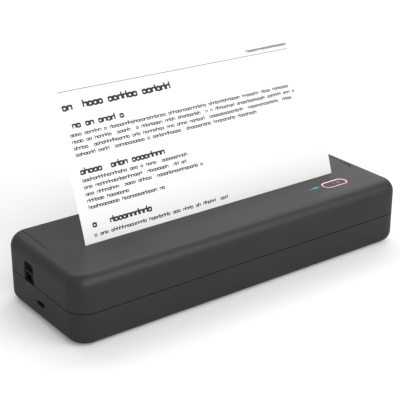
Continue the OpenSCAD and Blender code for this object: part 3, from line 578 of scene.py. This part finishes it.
def printed_lines(finish, across, up):
    """A page of made-up letters in the sizes of print: bowls and stems in a random order."""
    rows = TITLE + HEADINGS + BODY + HEADER
    middle = left = right = tall = pitch = seed = inside = 0
    for number, (z, start, end, x_height, letter) in enumerate(rows):
        end = start + letter * round((end - start) / letter)
        here = finish.add(
            "ShaderNodeMath", {"operation": "COMPARE"}, {0: up, 1: z, 2: LINE_REACH * x_height})
        inside = here + inside
        middle, left, right = here * z + middle, here * start + left, here * end + right
        tall, pitch = here * x_height + tall, here * letter + pitch
        seed = here * (number * SEED_STEP) + seed
    along = (across - left) / pitch + seed
    cell = along.whole()
    u = along - cell
    v = (up - middle) / tall + 0.5
    pick = finish.parts(finish.add(
        "ShaderNodeTexWhiteNoise", {"noise_dimensions": "1D"}, {"W": cell}, output=1))
    is_gap = pick[2].over(1 - EMPTY_CELLS)
    is_round = pick[0].over(1 - ROUND_LETTERS)
    stroke = tall.rises(2.0, 2.5) * (BOLD_STROKE - THIN_STROKE) + THIN_STROKE
    # A bowl is a circle, or its upper half as the arch of a letter with two stems
    beside = (u - (LEFT_STEM + RIGHT_STEM) / 2) * BOWL_SQUEEZE
    reach = (beside ** 2 + (v - 0.5) ** 2) ** 0.5
    bowl = 1 - reach.away_from(BOWL_RADIUS).rises(stroke * 0.7, stroke * 1.2)
    stems = 0
    for side, share in ((LEFT_STEM, pick[1]), (RIGHT_STEM, 1 - pick[1])):
        upright = 1 - u.away_from(side).rises(stroke * 0.6, stroke)
        top = share.over(1 - TALL_STEMS) * 0.5 + 1
        chosen = 1 - is_round * share.over(0.5)
        stems = upright * v.rises(0, 0.05) * (1 - (v - top).rises(0, 0.06)) * chosen + stems
    ink = (bowl * (is_round + v.rises(0.5, 0.55)) + stems).rises(0.2, 0.8)
    on_line = inside * across.rises(left, left + 0.01) * (1 - across.rises(right, right + 0.01))
    page = ink * (1 - is_gap) * on_line
    rule_z, rule_start, rule_end, fall = RULE
    drop = up + (across - rule_start) * fall - rule_z
    rule = (1 - drop.away_from(0).rises(0.2, 0.35)) * across.between(rule_start, rule_end, 0.2)
    return (page + rule * 0.75).rises(0.0, 1.0)


class PRINTER_OT_sheet(bpy.types.Operator):
    """Makes the printed sheet, curled from the nip up through the slot"""

    bl_idname = "printer.sheet"
    bl_label = "Printed Sheet"

    def execute(self, context):
        paper = settings()[1]
        width, curl, out = paper.width / MM, paper.curl / MM, paper.out / MM
        thickness, columns, steps = 0.1, 48, 60
        node_low, node_high = low("printed_sheet"), high("printed_sheet")
        # The sheet is an arc about a far axis behind the printer
        axis_z = high("top_shell").z - curl * math.sin(paper.lean)
        top_angle = paper.lean + out / curl
        axis_y = node_high.y + curl * math.cos(top_angle)
        foot_angle = math.asin((node_low.z - axis_z) / curl)
        foot_y, foot_z = axis_y - curl * math.cos(foot_angle), axis_z + curl * math.sin(foot_angle)
        bm = bmesh.new()
        start = [bm.verts.new((i * width / columns - width / 2, foot_y, foot_z))
                 for i in range(columns + 1)]
        edges = [bm.edges.new(pair) for pair in zip(start, start[1:])]
        bmesh.ops.spin(bm, geom=[*start, *edges], cent=(0, axis_y, axis_z), axis=(-1, 0, 0),
                       angle=top_angle - foot_angle, steps=steps)
        bmesh.ops.solidify(bm, geom=list(bm.faces), thickness=-thickness)
        bmesh.ops.recalc_face_normals(bm, faces=bm.faces)
        bm.normal_update()
        spread = bm.loops.layers.uv.new("Sheet")
        printed_side = bm.faces.layers.float.new("Printed")
        for face in bm.faces:
            face[printed_side] = 1.0 if face.normal.y < -0.3 else 0.0
            for loop in face.loops:
                angle = math.atan2(loop.vert.co.z - axis_z, axis_y - loop.vert.co.y)
                loop[spread].uv = (loop.vert.co.x / width + 0.5, (angle - paper.lean) * curl / out)

        finish = Finish("Printed_paper", {"IOR": 1.45})
        u, v, _ = finish.parts(finish.add("ShaderNodeUVMap", {"uv_map": "Sheet"}))
        front = finish.add("ShaderNodeAttribute", {"attribute_name": "Printed"}, output="Fac")
        lines = printed_lines(finish, (u - 0.5) * width, v * out)
        paper_base(finish, paper.colour, paper.ink, lines * front)
        piece("Sheet", bm, "sheet", finish, ["printed_sheet"])
        return {"FINISHED"}


class PRINTER_OT_roll(bpy.types.Operator):
    """Makes the paper roll with its wound ends, its cardboard core and the web to the head"""

    bl_idname = "printer.roll"
    bl_label = "Paper Roll"

    def execute(self, context):
        paper = settings()[1]
        middle = centre("paper_roll")
        outer = (high("paper_roll").z - low("paper_roll").z) / 2
        core = (high("roll_core").z - low("roll_core").z) / 2
        half = (high("paper_roll").x - low("paper_roll").x) / 2

        # The windings show on the two ends only
        winding, soft = 0.35 * MM, 0.3
        wound = Finish("Wound_paper", {"IOR": 1.45})
        x, y, z = wound.parts(wound.place(centre=(0, middle.y * MM, middle.z * MM)))
        radius = (y * y + z * z) ** 0.5
        ends = x.away_from(0).rises((half - 0.5) * MM, (half - 0.2) * MM)
        rings = (radius * (FULL_TURN / winding) + wound.noise(6 * MM, 2) * 8).wave() * 0.5 + 0.5
        layers = rings * ends + wound.noise(1.5 * MM, 2) * 0.12 * (1 - ends) + (1 - ends) * 0.85
        wound.set("Base Color", wound.mix(layers, darker(paper.colour, 0.86), paper.colour))
        wound.set("Roughness", layers * 0.1 + 0.5)
        wound.bump(layers, 0.03 * MM, 0.6)
        bm = bmesh.new()
        turned(bm, [(-half, core), (-half, outer - soft), (-half + soft, outer),
                    (half - soft, outer), (half, outer - soft), (half, core)], middle, 96)
        piece("Roll", bm, "roll", wound, ["paper_roll"], smooth=30)

        # The core is wound of a band of card, whose seam runs round it as a helix
        seam_pitch = 42 * MM
        card = Finish("Core_card", {"IOR": 1.45})
        x, y, z = card.parts(card.place(centre=(0, middle.y * MM, middle.z * MM)))
        round_it = card.add("ShaderNodeMath", {"operation": "ARCTAN2"}, {0: y, 1: z})
        seam = (x * (FULL_TURN / seam_pitch) + round_it).wave().rises(0.93, 1.0)
        fibre = card.noise(0.4 * MM, 4, card.place((0.2, 1, 1)))
        card.set("Base Color", card.mix(
            fibre * 0.7 + seam * 0.3, (0.42, 0.29, 0.17), (0.60, 0.45, 0.29)))
        card.set("Roughness", fibre * 0.15 + 0.75)
        card.bump(fibre, 0.04 * MM, 0.7)
        refinish(card, "roll_core")
        refinish(paper_base(Finish("Web_paper", {"IOR": 1.45}), paper.colour), "paper_web")
        return {"FINISHED"}


# ---- What shows inside ----


class PRINTER_OT_springs(bpy.types.Operator):
    """Winds the three head springs and the latch spring"""

    bl_idname = "printer.springs"
    bl_label = "Springs"

    def execute(self, context):
        wire = metal("Spring_wire", (0.70, 0.70, 0.72), 0.28)
        # Each head spring is two short coils, with room between them for the head's tilt
        places, lean = (-70, 0, 70), math.radians(15.2)
        radius, gauge, turns, length, half_spring = 1.9, 0.2, 1.5, 0.82, 1.55
        reach = half_spring - gauge
        middle = centre("head_springs")
        way = Vector((0, math.cos(lean), -math.sin(lean)))
        for name, body, side, node in (("Head_coils", "case", -1, ["head_springs"]),
                                       ("Head_coils_moving", "head", 1, [])):
            bm = bmesh.new()
            for x in places:
                end = Vector((x, middle.y, middle.z)) + way * side * reach
                coil(bm, end, end - way * side * length, radius, gauge, turns)
            piece(name, bm, body, wire, node, smooth=60)

        start, end, middle = low("latch_spring"), high("latch_spring"), centre("latch_spring")
        room, gauge, turns = 0.3, 0.28, 5
        bm = bmesh.new()
        coil(bm, (start.x + room, middle.y, middle.z), (end.x - room, middle.y, middle.z),
             (end.z - start.z) / 2 - room, gauge, turns)
        piece("Latch_coil", bm, "latch", wire, ["latch_spring"], smooth=60)
        return {"FINISHED"}


def solder_mask():
    """Circuit board: green lacquer over traces, with gold pads."""
    trace_pitch, pad_pitch = 3.2 * MM, 4.1 * MM
    finish = Finish("Board_lacquer", {"Roughness": 0.35, "Coat Roughness": 0.15})
    grid = finish.add(
        "ShaderNodeTexVoronoi", {"feature": "DISTANCE_TO_EDGE"},
        {"Vector": finish.place((1, 2.2, 0)), "Scale": 1 / trace_pitch, "Randomness": 0.35})
    trace = 1 - grid.rises(0.03, 0.06)
    pads = finish.add(
        "ShaderNodeTexVoronoi", {"feature": "F1"},
        {"Vector": finish.place((1, 1, 0)), "Scale": 1 / pad_pitch, "Randomness": 0.7})
    pad = 1 - pads.rises(0.10, 0.13)
    green = finish.mix(trace, (0.010, 0.085, 0.038), (0.022, 0.15, 0.066))
    finish.set("Base Color", finish.mix(pad, green, (0.65, 0.48, 0.20)))
    finish.set("Metallic", pad * 0.9)
    finish.set("Coat Weight", 1 - pad)
    finish.bump(trace + pad, 0.03 * MM, 0.6)
    return finish


def shrink_wrap():
    """Blue film shrunk onto the cells, faintly wrinkled."""
    finish = Finish("Cell_wrap", {"IOR": 1.5})
    wrinkle = finish.noise(3 * MM, 3, finish.place((0.25, 1, 1)))
    finish.set("Base Color", finish.mix(wrinkle, (0.03, 0.10, 0.28), (0.05, 0.15, 0.38)))
    finish.set("Roughness", wrinkle * 0.15 + 0.22)
    finish.bump(wrinkle, 0.12 * MM, 0.5)
    return finish


def amber_film():
    """Flexible film with copper tracks along it."""
    track_pitch = 1.0 * MM
    finish = Finish("Ribbon_film", {"IOR": 1.5})
    x, _, _ = finish.parts(finish.place())
    track = (x * (FULL_TURN / track_pitch)).wave().rises(0.0, 0.3)
    finish.set("Base Color", finish.mix(track, (0.42, 0.17, 0.03), (0.66, 0.34, 0.10)))
    finish.set("Roughness", track * 0.1 + 0.3)
    finish.bump(track, 0.03 * MM, 0.6)
    return finish


def glazed():
    """Ceramic plate, faintly speckled under its glaze."""
    finish = Finish("Head_ceramic", {"IOR": 1.6})
    speck = finish.noise(0.3 * MM, 3)
    finish.set("Base Color", finish.mix(speck, (0.70, 0.69, 0.65), (0.80, 0.79, 0.75)))
    finish.set("Roughness", speck * 0.1 + 0.2)
    finish.bump(speck, 0.01 * MM, 0.4)
    return finish


class PRINTER_OT_insides(bpy.types.Operator):
    """Gives the frame, drive, print head, boards and battery their finishes"""

    bl_idname = "printer.insides"
    bl_label = "Insides"

    def execute(self, context):
        refinish(metal("Turned_steel", (0.62, 0.62, 0.64), 0.26),
                 "case_screws", "frame_screws", "board_screws", "bracket_screws", "head_rod",
                 "hinge_pins", "platen_shaft", "gear_studs", "gear_clips", "platen_clip",
                 "latch_shaft", "tear_bar", "power_switch")
        # Painted shade: the charge socket's metal is darkened to the shade inside its opening
        refinish(metal("Socket_steel_painted_shade", (0.10, 0.10, 0.105), 0.5), "charge_socket")
        refinish(metal("Zinc_plate", (0.50, 0.51, 0.52), 0.36, (0.5, 1, 1), 1.5 * MM),
                 "side_plate_left", "side_plate_right", "pressure_bar", "platen_bracket",
                 "latch_hook_left", "latch_hook_right", "motor_body")
        refinish(metal("Drawn_aluminium", (0.72, 0.73, 0.74), 0.34, (0.02, 1, 1), 0.3 * MM),
                 "head_heatsink")
        refinish(metal("Cut_brass", (0.70, 0.52, 0.24), 0.3), "motor_pinion")
        refinish(moulded("Platen_rubber", (0.022, 0.022, 0.022), 0.15 * MM, 0.7), "platen_sleeve")
        refinish(moulded("Natural_acetal", (0.72, 0.71, 0.66), 0.3 * MM, 0.38),
                 "platen_gear", "idler_gear", "reduction_gear", "platen_bushes", "latch_lever")
        refinish(moulded("Black_plastic", (0.022, 0.022, 0.022), 0.3 * MM, 0.5),
                 "battery_tray", "roll_hub_left", "roll_hub_right")
        refinish(moulded("Slide_plastic", (0.012, 0.012, 0.012), 0.3 * MM, 0.6), "release_slide")
        refinish(moulded("Chip_resin", (0.018, 0.018, 0.019), 0.12 * MM, 0.4),
                 "head_drivers", "board_chips", "paper_sensor")
        refinish(glazed(), "head_ceramic")
        refinish(amber_film(), "head_ribbon")
        refinish(solder_mask(), "main_board", "io_board", "button_board")
        refinish(shrink_wrap(), "battery_cells")
        return {"FINISHED"}


# ---- Stage ----


def soft_box(name, place, size, power):
    """A rectangular lamp that faces the printer."""
    target = Vector((0, 0, 0.04))
    lamp = bpy.data.lights.new(name, "AREA")
    lamp.shape = "RECTANGLE"
    lamp.size, lamp.size_y = size
    lamp.energy = power
    made = bpy.data.objects.new(name, lamp)
    bpy.context.scene.collection.objects.link(made)
    made.location = place
    made.rotation_euler = (target - made.location).to_track_quat("-Z", "Y").to_euler()


class PRINTER_OT_stage(bpy.types.Operator):
    """Sets up the pale floor, the white surround, the soft lights and the camera"""

    bl_idname = "printer.stage"
    bl_label = "Stage"

    def execute(self, context):
        studio = settings()[3]
        scene = context.scene
        scene.view_settings.view_transform = "Standard"

        bm = bmesh.new()
        half_side = 4
        bmesh.ops.create_grid(bm, x_segments=2, y_segments=2, size=half_side)
        mesh = bpy.data.meshes.new("Floor")
        bm.to_mesh(mesh)
        bm.free()
        floor = bpy.data.objects.new("Floor", mesh)
        scene.collection.objects.link(floor)
        # The camera sees the floor a little lighter, and white far off; gloss sees it darker
        pale = Finish(
            "Floor", {"Roughness": 0.85, "Specular IOR Level": 0.1, "Emission Strength": 1.0})
        glossy = pale.add("ShaderNodeLightPath", output="Is Glossy Ray")
        pale.set("Base Color", pale.mix(glossy, (0.92, 0.92, 0.92), (0.45, 0.45, 0.45)))
        x, y, _ = pale.parts(pale.place())
        far_off = ((x * x + y * y) ** 0.5).rises(0.45, 1.6)
        seen = pale.add("ShaderNodeLightPath", output="Is Camera Ray")
        pale.set("Emission Color", pale.mix(seen * (far_off * 0.6 + 0.12), (0, 0, 0), (1, 1, 1)))
        mesh.materials.append(pale.material)

        # The surround is white to the camera, and softer as light
        as_light, to_camera = 0.4, 1.0
        world = bpy.data.worlds.new("Surround")
        scene.world = world
        world.use_nodes = True
        tree = world.node_tree
        tree.nodes.clear()
        rays = tree.nodes.new("ShaderNodeLightPath")
        strength = tree.nodes.new("ShaderNodeMapRange")
        strength.inputs["To Min"].default_value = as_light
        strength.inputs["To Max"].default_value = to_camera
        sky = tree.nodes.new("ShaderNodeBackground")
        out = tree.nodes.new("ShaderNodeOutputWorld")
        tree.links.new(rays.outputs["Is Camera Ray"], strength.inputs["Value"])
        tree.links.new(strength.outputs[0], sky.inputs["Strength"])
        sky.inputs["Color"].default_value = (1, 1, 1, 1)
        tree.links.new(sky.outputs[0], out.inputs[0])

        soft_box("Back_panel", (0.45, 0.8, 1.4), (2.4, 0.6), 12.5)
        soft_box("Right_panel", (1.25, 1.05, 0.65), (0.9, 0.5), 2)
        soft_box("Front_panel", (0.1, -1.2, 1.05), (2.2, 1.1), 21)

        camera = bpy.data.objects.new("Camera", bpy.data.cameras.new("Camera"))
        scene.collection.objects.link(camera)
        camera.data.sensor_width = 36
        camera.data.lens = studio.lens
        camera.data.clip_end = 20
        aim, distance = Vector((0.011165, 0.029591, 0.037837)), 0.8
        back = Vector((math.sin(studio.azimuth) * math.cos(studio.elevation),
                       -math.cos(studio.azimuth) * math.cos(studio.elevation),
                       math.sin(studio.elevation)))
        camera.location = aim + back * distance
        camera.rotation_euler = (-back).to_track_quat("-Z", "Y").to_euler()
        scene.camera = camera
        return {"FINISHED"}


STEPS = (PRINTER_OT_case, PRINTER_OT_feet, PRINTER_OT_controls, PRINTER_OT_sheet, PRINTER_OT_roll,
         PRINTER_OT_springs, PRINTER_OT_insides, PRINTER_OT_stage)
GROUPS = {"printer_case": PrinterCase, "printer_paper": PrinterPaper,
          "printer_lights": PrinterLights, "printer_studio": PrinterStudio}


class PRINTER_PT_panel(bpy.types.Panel):
    """Lists the printer's values and the pieces that can be made"""

    bl_idname = "PRINTER_PT_panel"
    bl_label = "Portable Printer"
    bl_space_type = "VIEW_3D"
    bl_region_type = "UI"
    bl_category = "Printer"

    def draw(self, context):
        layout = self.layout
        for name, group in GROUPS.items():
            box = layout.box()
            for value in group.__annotations__:
                box.prop(getattr(context.scene, name), value)
        for step in STEPS:
            layout.operator(step.bl_idname)


def register():
    for cls in (*GROUPS.values(), *STEPS, PRINTER_PT_panel):
        bpy.utils.register_class(cls)
    for name, group in GROUPS.items():
        setattr(bpy.types.Scene, name, bpy.props.PointerProperty(type=group))


def unregister():
    for name in GROUPS:
        delattr(bpy.types.Scene, name)
    for cls in reversed((*GROUPS.values(), *STEPS, PRINTER_PT_panel)):
        bpy.utils.unregister_class(cls)


def main():
    register()
    for step in STEPS:
        getattr(bpy.ops.printer, step.bl_idname.split(".")[1])()


if __name__ == "__main__":
    main()
